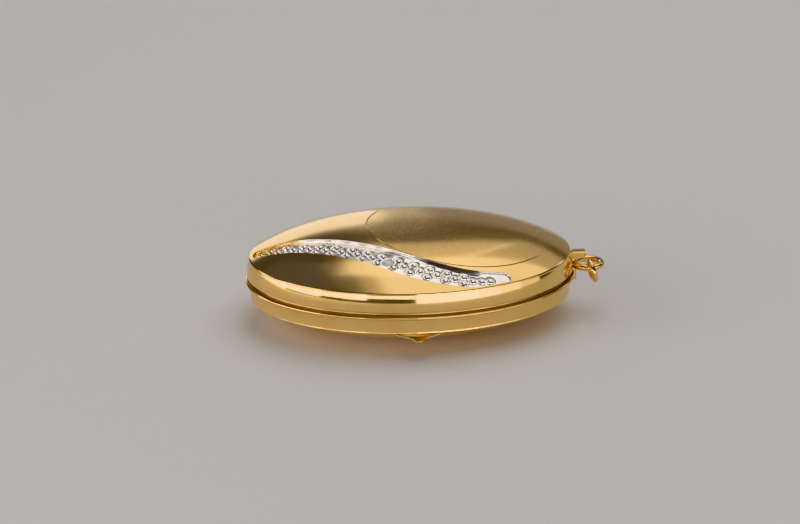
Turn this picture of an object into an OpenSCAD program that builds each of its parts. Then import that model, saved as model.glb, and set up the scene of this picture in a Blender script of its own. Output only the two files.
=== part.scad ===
// Oval locket, closed and lying on its back, in millimetres.
// The origin is on the surface it rests on, under the middle of the case. +X runs along the case to the
// ring, -Y is the side with the thumb lip, +Y the hinge side, and +Z is up through the front cover.

/* [Case] */
// Length of the front cover
case_l = 30; // [29:0.5:31]
// Width of the front cover
case_w = 22.4; // [22:0.1:23]
// Rise of the front dome above its wall
front_dome_h = 2.55; // [2.4:0.05:2.7]
// Drop of the back dome below its wall
back_dome_h = 2.4; // [2.3:0.05:2.6]
// Shape of both domes: 2 is a plain parabola, higher is flatter on top and steeper at the edge
dome_power = 3.3; // [3:0.1:3.6]
// Height of the front cover's wall
cover_wall_h = 1.73; // [1.65:0.01:1.85]
// Height of the back half's wall with its flange
back_wall_h = 1.71; // [1.65:0.01:1.8]
// Height of the open groove between the two halves
groove_h = 0.41; // [0.36:0.01:0.44]
// How far the flange under the groove stands out past the cover
flange_out = 0.37; // [0.32:0.01:0.42]
// Thickness of the flange
flange_t = 0.28; // [0.24:0.02:0.32]
// Thickness of the upright walls
wall_t = 0.5; // [0.48:0.01:0.52]

/* [Swirl] */
// Depth of the channel that holds the inlay
channel_depth = 0.45; // [0.43:0.01:0.48]
// Thickness of the inlay's floor
inlay_t = 0.1; // [0.1:0.01:0.14]
// Gap round and under the inlay
inlay_gap = 0.03; // [0.03:0.01:0.05]
// Diameter of a bead
bead_d = 0.76; // [0.7:0.02:0.76]
// Distance along the band from one column of beads to the next
bead_step = 0.82; // [0.8:0.02:0.88]
// How far the beads' tops lie below the dome
bead_drop = 0.1; // [0.05:0.01:0.12]
// Diameter of the centre stone
stone_d = 1.2; // [1.1:0.05:1.2]

/* [Engraved arc] */
// Radius of the engraved arc that bounds the upper field
arc_r = 8.63; // [8.5:0.01:8.7]
// Width of the engraved line
arc_line_w = 0.14; // [0.12:0.01:0.2]
// Depth of the engraved line
arc_line_depth = 0.07; // [0.05:0.01:0.1]

/* [Lip] */
// Width of the thumb lip at its root
lip_root_w = 4.1; // [3:0.1:5]
// Width of the thumb lip's rounded tip
lip_tip_w = 1.1; // [0.8:0.1:1.5]
// How far the thumb lip stands out
lip_out = 1.15; // [0.8:0.05:1.3]
// Thickness of the thumb lip
lip_t = 0.3; // [0.25:0.05:0.35]
// Droop of the thumb lip in degrees
lip_droop = 17; // [12:1:20]

/* [Hinge] */
// Radius of the hinge knuckles
knuckle_r = 0.6; // [0.56:0.01:0.6]
// Length of one knuckle
knuckle_l = 2.1; // [1.8:0.1:2.4]
// Radius of the hinge pin
pin_r = 0.25; // [0.22:0.01:0.27]

/* [Rings] */
// Outer diameter of the fixed ring
fixed_ring_d = 3.16; // [3.1:0.02:3.2]
// Wire diameter of the fixed ring
fixed_wire_d = 0.62; // [0.58:0.02:0.64]
// Outer diameter of the free jump ring
jump_ring_d = 2.4; // [2.35:0.05:2.5]
// Wire diameter of the free jump ring
jump_wire_d = 0.54; // [0.5:0.02:0.56]
// Where the jump ring hangs on the fixed ring, in degrees from +X towards -Y
jump_ring_at = 82; // [80:1:86]
// How far the jump ring leans out at its lower end, in degrees
jump_lean = 16; // [12:1:20]

/* [Hidden] */

half_l = case_l / 2;
half_w = case_w / 2;
back_arris_z = back_dome_h;
flange_top_z = back_arris_z + back_wall_h;
cover_low_z = flange_top_z + groove_h;
cover_arris_z = cover_low_z + cover_wall_h;
apex_z = cover_arris_z + front_dome_h;

// The back dome runs on below the surface by this much and is cut off there, so the case stands flat
rest_cut = 0.05;
// The back half's wall stands out past the cover's wall by this much
back_wall_out = 0.03;
// Metal under the middle of each dome
front_metal = 0.7;
back_metal = 0.6;

// The dome of the front hollow starts this far below the cover's arris
front_hollow_drop = 0.45;
// The dome of the back hollow starts this far above the back arris
back_hollow_rise = 0.1;
// The back hollow is wider than the cover's outline by this much
back_hollow_out = back_wall_out - wall_t - 0.05;
// Cuts run past the metal by this much, and cuts that meet overlap by this much
past = 1;
overlap = 0.001;

// The closing rim stands up inside the cover; its shoulder is the floor of the groove's recess
shoulder_out = -0.3;
shoulder_h = 0.36;
rim_out = -0.62;
rim_in = -0.95;
rim_top_z = cover_low_z + 0.88;

// Hinge axis, along X on the +Y side
hinge_y = half_w + 0.45;
hinge_z = (flange_top_z + cover_low_z) / 2;
pin_clearance = 0.02;
knuckle_gap = 0.05;
knuckle_notch_r = knuckle_r + 0.12;
pin_half = knuckle_l * 1.5 + knuckle_gap;
// Leaves that carry the knuckles: how far they run in from the hinge axis, and how high they are
back_leaf_reach = 0.95;
back_leaf_h = 0.51;
cover_leaf_reach = 0.7;
cover_leaf_h = 0.48;

// How far the thumb lip's root runs into the wall
lip_inset = 0.42;

// Stations of the swirl band, left to right: [x, middle y, width in y], for a cover of this half size
swirl_half_l = 15;
swirl_half_w = 11.2;
SWIRL = [
    [-14.4, -0.28, 1.55],
    [-12.5, -1.05, 2.03],
    [-10.6, -1.93, 2.66],
    [-8.7, -2.95, 2.95],
    [-6.8, -3.99, 3.26],
    [-4.9, -5.15, 3.35],
    [-3, -6.44, 3.43],
    [-1.1, -7.66, 3.12],
    [0.8, -8.6, 2.65],
    [2.7, -9.17, 2.18],
    [4.6, -9.43, 1.79],
    [6.5, -9.25, 1.45],
    [8.2, -8.78, 1.05]
];
// Columns of the stations' table
MID = 1;
WIDTH = 2;
// The same stations for this size of cover
STATIONS = [
    for (s = SWIRL)
        [s[0] * half_l / swirl_half_l, s[MID] * half_w / swirl_half_w, s[WIDTH] * half_w / swirl_half_w]
];
// Length of the rounded ends past the first and the last station
left_cap = 0.2;
right_cap = 0.45;
// Spacing of the outline's points along X
outline_step = 0.95;
// The stone's place along the band, in from the left of the middle
stone_x = -2.45;
// The stone lies nearer to the lip than the middle line by this much
stone_low = 0.45;
// The stone's top lies this far below the dome
stone_drop = 0.15;
stone_r = stone_d / 2;
crown_h = 0.14;
girdle_h = 0.04;
pavilion_h = 0.27;
// The stone's rings of corners, as parts of its radius: table, upper facets, lower facets, point
table_part = 0.56;
upper_part = 0.86;
lower_part = 0.62;
point_part = 0.06;
// The upper corners lie this far below the table, the lower ones this far below the girdle
upper_drop = 0.07;
lower_drop = 0.13;
// Thickness of the thin slices that carry the corners
slice_t = 0.01;
// Clearance of the stone in its collar, and the collar's width, lower edge and height
stone_gap = 0.03;
collar_w = 0.11;
collar_low = 0.24;
collar_h = 0.17;
// The pit under the stone is narrower than the girdle by this much, and deeper than the point by this much
pit_inset = 0.08;
pit_gap = 0.03;
// Rows of beads on either side of the middle line, as a part of the band's width
row_part = 0.19;
// The rows lie nearer to the lip than the middle line, by this part of what the band is wider than row_low_w
row_low = 0.11;
row_low_w = 1.05;
// A band narrower than this takes a single row of beads
pair_w = 1.72;
left_columns = 16;
right_columns = 12;
// Beads shrink towards the band's left tip over this length, and would vanish this far past its first station
tip_l = 1.6;
tip_past = 0.75;

// Centre of the engraved arc, and where it starts and ends in degrees
arc_centre = [4.68, 0.51];
arc_from = 100;
arc_to = 328;

// Fixed ring, lying flat at the end of the case
ring_x = half_l + 1.68;
ring_z = cover_low_z - 0.02;
ring_r = (fixed_ring_d - fixed_wire_d) / 2;
// Lug that holds the fixed ring: its foot runs into the wall, its head stays clear of the cover
lug_root = 0.2;
lug_gap = 0.12;
lug_foot_out = 0.6;
lug_foot_y = [-0.15, 0.55];
lug_low_z = back_arris_z + 0.55;
lug_head_out = 1.48;
lug_head_y = [-0.45, 0.6];
lug_head_h = 0.6;
lug_top_z = ring_z + 1.33;
jump_r = (jump_ring_d - jump_wire_d) / 2;
jump_clearance = 0.07;
// The jump ring's plane is turned from +Y towards -X by this many degrees
jump_turn = 8;

gold = [0.93, 0.72, 0.36];
white_metal = [0.86, 0.86, 0.87];
clear_stone = [0.9, 0.95, 1];

// Slopes are measured over this distance to either side
probe = 0.05;

// Smooth curve through one column of the stations' table
function station_slope(k, c) =
    let (a = max(k - 1, 0), b = min(k + 1, len(STATIONS) - 1))
    (STATIONS[b][c] - STATIONS[a][c]) / (STATIONS[b][0] - STATIONS[a][0]);
function station_before(x, k = 0) =
    k + 2 >= len(STATIONS) || x < STATIONS[k + 1][0] ? k : station_before(x, k + 1);
function curve(x, c) =
    let (k = station_before(x), gap = STATIONS[k + 1][0] - STATIONS[k][0], t = (x - STATIONS[k][0]) / gap)
    STATIONS[k][c] * (1 + 2 * t) * pow(1 - t, 2) + gap * station_slope(k, c) * t * pow(1 - t, 2)
    + STATIONS[k + 1][c] * t * t * (3 - 2 * t) + gap * station_slope(k + 1, c) * t * t * (t - 1);
function band_angle(x) = atan((curve(x + probe, MID) - curve(x - probe, MID)) / (2 * probe));

swirl_start = STATIONS[0][0];
swirl_end = STATIONS[len(STATIONS) - 1][0];
outline_count = round((swirl_end - swirl_start) / outline_step);
function outline_x(i) = swirl_start + (swirl_end - swirl_start) * i / outline_count;

// Height of the front dome above its wall at a point of the plan
function front_rise(x, y) =
    front_dome_h * (1 - pow(sqrt(pow(x / half_l, 2) + pow(y / half_w, 2)), dome_power));

// One edge of the band, side 1 for the far edge and -1 for the near one, drawn in by a gap
function band_edge(side, gap) = [
    for (i = [0:outline_count])
        let (x = outline_x(i))
        [x, curve(x, MID) + side * (curve(x, WIDTH) / 2 - gap / cos(band_angle(x)))]
];
// A rounded end past station x, direction 1 to the right and -1 to the left
function band_cap(x, direction, reach, gap) = [
    for (a = [-75:25:75])
        [x + direction * (reach - gap) * cos(a),
         curve(x, MID) + direction * (curve(x, WIDTH) / 2 - gap) * sin(a)]
];
function reversed(list) = [for (i = [len(list) - 1:-1:0]) list[i]];

// Columns of beads: walks away from the stone along the middle line
function walk(x, direction, count) =
    count == 0 ? [] : concat([x], walk(x + direction * bead_step * cos(band_angle(x)), direction, count - 1));

module oval(out, h) {
    scale([1, (half_w + out) / (half_l + out), 1])
        cylinder(r = half_l + out, h = h, $fn = 96);
}

// Dome over an oval that is larger than the cover by out, on the plane z = 0
module dome(out, h) {
    steps = 13;
    scale([1, (half_w + out) / (half_l + out), 1])
        rotate_extrude($fn = 96)
            polygon(concat([[0, 0]], [
                for (i = [steps:-1:0])
                    let (part = sin(90 * i / steps))
                    [(half_l + out) * part, h * (1 - pow(part, dome_power))]
            ]));
}

module lowered_dome(drop) {
    translate([0, 0, cover_arris_z - drop]) dome(0, front_dome_h);
    translate([0, 0, cover_low_z]) oval(0, cover_wall_h - drop);
}

module band_prism(gap) {
    translate([0, 0, cover_low_z])
        linear_extrude(apex_z)
            polygon(concat(
                reversed(band_edge(1, gap)),
                band_cap(swirl_start, -1, left_cap, gap),
                band_edge(-1, gap),
                band_cap(swirl_end, 1, right_cap, gap)
            ));
}

// Places its children at a point of the plan, drop below the dome, square to the dome's surface
module on_dome(x, y, drop) {
    slope_x = (front_rise(x + probe, y) - front_rise(x - probe, y)) / (2 * probe);
    slope_y = (front_rise(x, y + probe) - front_rise(x, y - probe)) / (2 * probe);
    translate([x, y, cover_arris_z + front_rise(x, y) - drop])
        rotate([atan(slope_y), -atan(slope_x), 0])
            children();
}

module at_stone() {
    on_dome(stone_x, curve(stone_x, MID) - stone_low, stone_drop) children();
}

// A bead: the cap of a ball that stands out of the inlay's floor
module bead(x, across) {
    turn = band_angle(x);
    low = row_low * max(0, curve(x, WIDTH) - row_low_w);
    d = bead_d * min(1, (x - swirl_start + tip_past) / tip_l);
    on_dome(x - across * sin(turn), curve(x, MID) + across * cos(turn) - low, bead_drop + d / 2)
        sphere(d = d, $fn = 16);
}

module beads() {
    for (side = [[-1, left_columns], [1, right_columns]]) {
        xs = walk(stone_x, side[0], side[1] + 1);
        for (i = [1:side[1]]) {
            band_w = curve(xs[i], WIDTH) * cos(band_angle(xs[i]));
            if (i % 2 == 1 && band_w > pair_w) {
                bead(xs[i], row_part * band_w);
                bead(xs[i], -row_part * band_w);
            } else {
                bead(xs[i], 0);
            }
        }
    }
}

module along_x(r, from, to) {
    translate([from, hinge_y, hinge_z]) rotate([0, 90, 0]) cylinder(r = r, h = to - from, $fn = 48);
}

module lip() {
    rounding = lip_tip_w / 2;
    translate([0, -half_w - back_wall_out, back_arris_z])
        rotate([lip_droop, 0, 0])
            translate([0, 0, -lip_t])
                linear_extrude(lip_t)
                    polygon(concat(
                        [[lip_root_w / 2, lip_inset], [-lip_root_w / 2, lip_inset], [-lip_root_w / 2, 0]],
                        [for (a = [200:20:340])
                            [rounding * cos(a), -lip_out + rounding + rounding * sin(a)]],
                        [[lip_root_w / 2, 0]]
                    ));
}

module ring(r, wire_d) {
    rotate_extrude($fn = 48) translate([r, 0]) circle(d = wire_d, $fn = 16);
}

// Block at the end of the case, from and to measured outwards from the cover's end
module end_block(from, to, sides, low, top) {
    translate([half_l + from, sides[0], low]) cube([to - from, sides[1] - sides[0], top - low]);
}

module lug() {
    end_block(-lug_root, lug_foot_out, lug_foot_y, lug_low_z, flange_top_z);
    end_block(lug_gap, lug_foot_out, lug_foot_y, lug_low_z, lug_top_z - lug_head_h / 2);
    end_block(lug_gap, lug_head_out, lug_head_y, lug_top_z - lug_head_h, lug_top_z);
}

module back_case() {
    color(gold)
    difference() {
        union() {
            difference() {
                translate([0, 0, back_arris_z]) mirror([0, 0, 1]) dome(back_wall_out, back_dome_h + rest_cut);
                translate([-half_l, -half_w, -past]) cube([case_l, case_w, past]);
            }
            translate([0, 0, back_arris_z]) oval(back_wall_out, back_wall_h - flange_t);
            translate([0, 0, flange_top_z - flange_t]) oval(flange_out, flange_t);
            translate([0, 0, flange_top_z]) oval(shoulder_out, shoulder_h);
            translate([0, 0, flange_top_z]) oval(rim_out, rim_top_z - flange_top_z);
            for (side = [-1, 1]) {
                from = side < 0 ? -pin_half : pin_half - knuckle_l;
                along_x(knuckle_r, from, from + knuckle_l);
                translate([from, hinge_y - back_leaf_reach, flange_top_z - back_leaf_h])
                    cube([knuckle_l, back_leaf_reach, back_leaf_h]);
            }
            lip();
            lug();
            translate([ring_x, 0, ring_z]) ring(ring_r, fixed_wire_d);
        }
        // Hollow: a dome, the straight part, and the mouth inside the closing rim
        translate([0, 0, back_arris_z + back_hollow_rise])
            mirror([0, 0, 1]) dome(back_hollow_out, back_arris_z + back_hollow_rise - back_metal);
        translate([0, 0, back_arris_z + back_hollow_rise - overlap])
            oval(back_hollow_out, back_wall_h - back_hollow_rise + overlap);
        translate([0, 0, flange_top_z - overlap]) oval(rim_in, apex_z);
        along_x(knuckle_notch_r, -knuckle_l / 2 - knuckle_gap, knuckle_l / 2 + knuckle_gap);
        along_x(pin_r + pin_clearance, -pin_half - past, pin_half + past);
    }
}

module front_cover() {
    color(gold)
    difference() {
        union() {
            lowered_dome(0);
            along_x(knuckle_r, -knuckle_l / 2, knuckle_l / 2);
            translate([-knuckle_l / 2, hinge_y - cover_leaf_reach, cover_low_z])
                cube([knuckle_l, cover_leaf_reach, cover_leaf_h]);
        }
        translate([0, 0, cover_low_z - past]) oval(-wall_t, cover_wall_h + past - front_hollow_drop);
        translate([0, 0, cover_arris_z - front_hollow_drop])
            dome(-wall_t, front_dome_h + front_hollow_drop - front_metal);
        for (side = [-1, 1]) {
            from = side < 0 ? -pin_half - knuckle_gap : pin_half - knuckle_l - knuckle_gap;
            along_x(knuckle_notch_r, from, from + knuckle_l + 2 * knuckle_gap);
        }
        along_x(pin_r + pin_clearance, -pin_half - past, pin_half + past);
        // Channel for the inlay, and the pit under the stone
        difference() {
            band_prism(0);
            lowered_dome(channel_depth);
        }
        at_stone()
            translate([0, 0, -crown_h - girdle_h - pavilion_h - pit_gap])
                cylinder(r = stone_r - pit_inset, h = past, $fn = 48);
        // Engraved arc
        difference() {
            translate([arc_centre[0], arc_centre[1], cover_arris_z])
                rotate([0, 0, arc_from])
                    rotate_extrude(angle = arc_to - arc_from, $fn = 96)
                        translate([arc_r - arc_line_w / 2, 0]) square([arc_line_w, apex_z]);
            lowered_dome(arc_line_depth);
        }
    }
}

module swirl_inlay() {
    color(white_metal)
    difference() {
        union() {
            intersection() {
                band_prism(inlay_gap);
                lowered_dome(channel_depth - inlay_gap - inlay_t);
            }
            beads();
            at_stone()
                translate([0, 0, -collar_low])
                    cylinder(r = stone_r + stone_gap + collar_w, h = collar_h, $fn = 48);
        }
        lowered_dome(channel_depth - inlay_gap);
        at_stone()
            translate([0, 0, -past]) cylinder(r = stone_r + stone_gap, h = 2 * past, $fn = 48);
    }
}

// Thin slice of the stone that carries one ring of its corners
module corners(part, z, count, turn) {
    translate([0, 0, z]) rotate([0, 0, turn]) cylinder(r = stone_r * part, h = slice_t, $fn = count);
}

module centre_stone() {
    girdle_low = -crown_h - girdle_h;
    color(clear_stone)
    at_stone() {
        hull() {
            corners(table_part, -slice_t, 8, 22.5);
            corners(upper_part, -upper_drop - slice_t, 8, 22.5);
            translate([0, 0, girdle_low]) cylinder(r = stone_r, h = girdle_h, $fn = 16);
        }
        hull() {
            corners(1, girdle_low, 16, 0);
            corners(lower_part, girdle_low - lower_drop - slice_t, 8, 0);
            corners(point_part, girdle_low - pavilion_h, 8, 0);
        }
    }
}

module hinge_pin() {
    color(gold) along_x(pin_r, -pin_half, pin_half);
}

// Hangs on the fixed ring's wire, in an upright plane that leans about the wire
module jump_ring() {
    hang = jump_r - jump_wire_d / 2 - fixed_wire_d / 2 - jump_clearance;
    color(gold)
    translate([ring_x + ring_r * cos(jump_ring_at), -ring_r * sin(jump_ring_at), ring_z])
        rotate([0, 0, jump_turn])
            rotate([0, -jump_lean, 0])
                translate([0, 0, -hang])
                    rotate([0, 90, 0])
                        ring(jump_r, jump_wire_d);
}

back_case();
front_cover();
swirl_inlay();
centre_stone();
hinge_pin();
jump_ring();
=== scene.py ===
"""Looks for the oval locket: fine meshes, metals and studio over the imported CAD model, all in one frame."""
import math
import random

import bmesh
import bpy
import numpy as np
from mathutils import Matrix, Vector
from mathutils.geometry import delaunay_2d_cdt


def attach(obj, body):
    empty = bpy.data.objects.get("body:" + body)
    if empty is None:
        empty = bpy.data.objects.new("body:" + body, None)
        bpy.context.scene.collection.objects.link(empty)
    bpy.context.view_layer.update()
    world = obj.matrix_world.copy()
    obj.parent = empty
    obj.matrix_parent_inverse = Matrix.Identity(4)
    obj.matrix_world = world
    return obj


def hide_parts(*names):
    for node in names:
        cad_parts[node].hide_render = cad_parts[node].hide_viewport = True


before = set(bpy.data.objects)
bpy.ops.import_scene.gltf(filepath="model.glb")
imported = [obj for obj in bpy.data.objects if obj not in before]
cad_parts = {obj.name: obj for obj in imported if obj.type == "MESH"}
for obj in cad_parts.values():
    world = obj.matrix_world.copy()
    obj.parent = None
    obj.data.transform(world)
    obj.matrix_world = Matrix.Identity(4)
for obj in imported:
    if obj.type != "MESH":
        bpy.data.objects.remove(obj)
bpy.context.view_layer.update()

# Sizes in this block are in millimetres and are those of part.scad; meshes are written in metres
MM = 0.001
HALF_L, HALF_W = 15.0, 11.2
FRONT_DOME_H, BACK_DOME_H, DOME_POWER = 2.55, 2.4, 3.3
BACK_ARRIS_Z = 2.4
FLANGE_TOP_Z = 4.11
COVER_LOW_Z = 4.52
COVER_ARRIS_Z = 6.25
FLANGE_OUT, FLANGE_T = 0.37, 0.28
WALL_T = 0.5
BACK_WALL_OUT = 0.03
REST_CUT = 0.05
FRONT_METAL, BACK_METAL = 0.7, 0.6
SHOULDER_OUT, SHOULDER_H = -0.3, 0.36
RIM_OUT, RIM_IN, RIM_TOP_Z = -0.62, -0.95, 5.4

# Swirl band, left to right: x, middle y, width in y
SWIRL = np.array([
    (-14.4, -0.28, 1.55), (-12.5, -1.05, 2.03), (-10.6, -1.93, 2.66), (-8.7, -2.95, 2.95),
    (-6.8, -3.99, 3.26), (-4.9, -5.15, 3.35), (-3.0, -6.44, 3.43), (-1.1, -7.66, 3.12),
    (0.8, -8.6, 2.65), (2.7, -9.17, 2.18), (4.6, -9.43, 1.79), (6.5, -9.25, 1.45), (8.2, -8.78, 1.05),
])
LEFT_CAP, RIGHT_CAP = 0.2, 0.45
CHANNEL_DEPTH, INLAY_GAP, INLAY_T = 0.45, 0.03, 0.1
PLATE_TOP_DROP = CHANNEL_DEPTH - INLAY_GAP - INLAY_T
BEAD_D, BEAD_STEP, BEAD_DROP, ROW_PART, PAIR_W = 0.76, 0.82, 0.1, 0.19, 1.72
LEFT_COLUMNS, RIGHT_COLUMNS = 16, 12
ROW_LOW, ROW_LOW_W, TIP_L, TIP_PAST = 0.11, 1.05, 1.6, 0.75
STONE_X, STONE_LOW, STONE_DROP, STONE_R = -2.45, 0.45, 0.15, 0.6
CROWN_H, GIRDLE_H, PAVILION_H = 0.14, 0.04, 0.3
STONE_GAP, COLLAR_W = 0.03, 0.11

ARC_CENTRE, ARC_R, ARC_FROM, ARC_TO = (4.68, 0.51), 8.63, 100.0, 328.0
ARC_LINE_W, ARC_LINE_DEPTH = 0.14, 0.07

HINGE_Y, HINGE_Z = 11.65, 4.315
KNUCKLE_R, KNUCKLE_L, KNUCKLE_GAP, PIN_R, BORE_R = 0.6, 2.1, 0.05, 0.25, 0.27
PIN_HALF = 1.5 * KNUCKLE_L + KNUCKLE_GAP
NOTCH_R = KNUCKLE_R + 0.12
# Where the knuckles start along X: the back's two, and the cover's one between them
SIDE_KNUCKLES, MIDDLE_KNUCKLE = (-PIN_HALF, PIN_HALF - KNUCKLE_L), -KNUCKLE_L / 2
BACK_LEAF_REACH, BACK_LEAF_H, COVER_LEAF_REACH, COVER_LEAF_H = 0.95, 0.51, 0.7, 0.48

LIP_ROOT_W, LIP_TIP_W, LIP_OUT, LIP_T, LIP_DROOP = 4.1, 1.1, 1.15, 0.3, 17.0
RING_X, RING_Z, FIXED_R, FIXED_WIRE = 16.68, 4.5, 1.27, 0.62
LUG_ROOT, LUG_GAP, LUG_FOOT_OUT, LUG_HEAD_OUT = 0.2, 0.12, 0.6, 1.48
LUG_LOW_Z, LUG_TOP_Z, LUG_HEAD_H = 2.95, RING_Z + 1.33, 0.6
JUMP_R, JUMP_WIRE, JUMP_CLEARANCE = 0.93, 0.54, 0.07
JUMP_AT, JUMP_LEAN, JUMP_TURN = math.radians(82), math.radians(16), math.radians(8)

# Details of the scene alone, in millimetres too. A q is a place in the oval: 0 in the middle, 1 at the edge
SEGMENTS = 480
ARRIS_Q, BACK_ARRIS_Q, ARRIS_H = 0.9905, 0.9895, 0.1
WALL_DRAFT, BACK_DRAFT = 0.25, 0.1
HOLLOW_DROP = 0.45
MOUTH, MOUTH_TO_ARRIS_Q = 0.05, 0.003
OUTLINE_STEP, OUTLINE_PASSES = 0.07, 12
FACE_GRID, FLOOR_GRID, PLATE_GRID = 0.3, 0.35, 0.06
# How far the grids keep off the fixed lines, and the q squared where the face's grid ends
FACE_CLEAR, FLOOR_CLEAR, PLATE_CLEAR, FACE_GRID_Q2 = 0.13, 0.16, 0.03, 0.975
# Where the satin stops: softness along the arc, and past its two ends, in degrees
SATIN_EDGE, SATIN_START, SATIN_END = 0.06, 12, 25
# The engraved line's section: (place across it as a part of its width, part of its depth)
LINE_LANES = ((-0.62, 0.0), (-0.5, 0.04), (-0.25, 0.52), (0.0, 1.0), (0.25, 0.52), (0.5, 0.04), (0.62, 0.0))
LINE_TO_MOUTH, LINE_LAST_Q2, LINE_FADE = 0.11, 0.965, 14
# The plate: each bead's dish, the ridge between dishes, the dip and the cut line along the far edge
DISH_IN, DISH_OUT, RIDGE_H = 0.38, 0.55, 0.13
DIP_X, CUT_X = (-0.5, 1.5, 5.4, 6.4), (-2.7, -1.9, 0.6, 1.4)
CUT_FROM_EDGE, CUT_HALF_W, CUT_DEPTH = 0.36, 0.08, 0.06
# How much the plate falls towards its far edge, for each millimetre, along X
PLATE_LEAN_X = (-13, -10, -3.8, -3.1, -2.5, -1.9, -1.3, 1.5, 3)
PLATE_LEAN = (0, 0.08, 0.08, 0.068, 0.03, -0.015, -0.034, -0.04, 0)
BEAD_ROWS, BEAD_POINTS, BEAD_SEED = 13, 30, 7
# Hinge fittings, the fall of the lug's top, and where the jump ring's wire starts and ends
KNUCKLE_CHAMFER, PIN_CHAMFER, LEAF_EDGE, LEAF_END = 0.05, 0.06, 0.05, 0.28
LUG_FALL = 0.06
JUMP_START, JUMP_END = math.radians(-63.4), math.radians(360 - 64.6)


# ---------- shapes shared with the CAD ----------

def station_slope(k, c):
    a, b = max(k - 1, 0), min(k + 1, len(SWIRL) - 1)
    return (SWIRL[b, c] - SWIRL[a, c]) / (SWIRL[b, 0] - SWIRL[a, 0])


def curve(x, c):
    """Middle (c = 1) or width (c = 2) of the band at x."""
    k = int(np.clip(np.searchsorted(SWIRL[:, 0], x, side="right") - 1, 0, len(SWIRL) - 2))
    gap = SWIRL[k + 1, 0] - SWIRL[k, 0]
    t = (x - SWIRL[k, 0]) / gap
    return (SWIRL[k, c] * (1 + 2 * t) * (1 - t) ** 2 + gap * station_slope(k, c) * t * (1 - t) ** 2
            + SWIRL[k + 1, c] * t * t * (3 - 2 * t) + gap * station_slope(k + 1, c) * t * t * (t - 1))


def band_angle(x):
    return math.atan((curve(x + 0.05, 1) - curve(x - 0.05, 1)) / 0.1)


def dome_z(x, y):
    """Height of the front dome."""
    q = np.sqrt((np.asarray(x) / HALF_L) ** 2 + (np.asarray(y) / HALF_W) ** 2)
    return COVER_ARRIS_Z + FRONT_DOME_H * (1 - q ** DOME_POWER)


def dome_normal(x, y):
    """Outward unit normal of the front dome."""
    x, y = np.asarray(x, float), np.asarray(y, float)
    q = np.maximum(np.sqrt((x / HALF_L) ** 2 + (y / HALF_W) ** 2), 1e-6)
    k = FRONT_DOME_H * DOME_POWER * q ** (DOME_POWER - 2)
    n = np.stack([k * x / HALF_L ** 2, k * y / HALF_W ** 2, np.ones_like(x)], axis=-1)
    return n / np.linalg.norm(n, axis=-1, keepdims=True)


def band_outline():
    """Closed outline of the band, counter-clockwise, with evenly spaced points, and its outward normals."""
    start, end = SWIRL[0, 0], SWIRL[-1, 0]
    xs = np.linspace(start, end, 400)
    mid = np.array([curve(x, 1) for x in xs])
    half = np.array([curve(x, 2) for x in xs]) / 2
    angles = np.radians(np.arange(-84, 85, 12))
    near = np.column_stack([xs, mid - half])
    far = np.column_stack([xs, mid + half])[::-1]
    right = np.column_stack([end + RIGHT_CAP * np.cos(angles), mid[-1] + half[-1] * np.sin(angles)])
    left = np.column_stack([start - LEFT_CAP * np.cos(angles), mid[0] - half[0] * np.sin(angles)])
    loop = resample(np.vstack([near, right, far, left]), OUTLINE_STEP)
    for _ in range(OUTLINE_PASSES):
        loop = 0.5 * loop + 0.25 * (np.roll(loop, 1, 0) + np.roll(loop, -1, 0))
    loop = resample(loop, OUTLINE_STEP)
    tangent = np.roll(loop, -1, 0) - np.roll(loop, 1, 0)
    tangent /= np.linalg.norm(tangent, axis=1, keepdims=True)
    normal = np.column_stack([tangent[:, 1], -tangent[:, 0]])
    # The channel's mouth ends just inside the arris, where the band comes close to it
    for _ in range(3):
        mouth = loop + MOUTH * normal
        over = np.hypot(*(mouth / (HALF_L, HALF_W)).T) - (ARRIS_Q - MOUTH_TO_ARRIS_Q)
        loop = loop - HALF_W * np.maximum(over, 0)[:, None] * normal
    return loop, normal


def resample(loop, spacing):
    closed = np.vstack([loop, loop[:1]])
    s = np.concatenate([[0], np.cumsum(np.linalg.norm(np.diff(closed, axis=0), axis=1))])
    n = int(round(s[-1] / spacing))
    at = np.linspace(0, s[-1], n, endpoint=False)
    return np.column_stack([np.interp(at, s, c) for c in closed.T])


def walk(x, direction, count):
    """X of the bead columns, one step along the band after another."""
    out = []
    for _ in range(count):
        x += direction * BEAD_STEP * math.cos(band_angle(x))
        out.append(x)
    return out


def bead_places():
    """Plan positions and diameters of the beads, as in the CAD."""
    places = []
    for direction, count in ((-1, LEFT_COLUMNS), (1, RIGHT_COLUMNS)):
        for i, x in enumerate(walk(STONE_X, direction, count), start=1):
            turn = band_angle(x)
            band_w = curve(x, 2) * math.cos(turn)
            low = ROW_LOW * max(0.0, curve(x, 2) - ROW_LOW_W)
            size = BEAD_D * min(1.0, (x - SWIRL[0, 0] + TIP_PAST) / TIP_L)
            rows = (ROW_PART * band_w, -ROW_PART * band_w) if i % 2 == 1 and band_w > PAIR_W else (0.0,)
            for across in rows:
                y = curve(x, 1) + across * math.cos(turn) - low
                places.append((x - across * math.sin(turn), y, size))
    return places


def on_dome(x, y, drop):
    """Frame square to the dome at a point of the plan, drop below it."""
    z_axis = Vector(dome_normal(x, y))
    x_axis = Vector((1, 0, 0))
    y_axis = z_axis.cross(x_axis).normalized()
    x_axis = y_axis.cross(z_axis)
    m = Matrix((x_axis, y_axis, z_axis)).transposed().to_4x4()
    m.translation = Vector((x, y, float(dome_z(x, y)) - drop))
    return m


# ---------- mesh helpers ----------

def add_mesh(name, verts, faces, mat, smooth=True):
    """Object from points in millimetres."""
    mesh = bpy.data.meshes.new(name)
    mesh.from_pydata((np.asarray(verts, float) * MM).tolist(), [], faces)
    mesh.validate()
    if smooth:
        mesh.shade_smooth()
    mesh.materials.append(mat)
    return add_object(name, mesh)


def add_object(name, data):
    obj = bpy.data.objects.new(name, data)
    bpy.context.scene.collection.objects.link(obj)
    return obj


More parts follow.
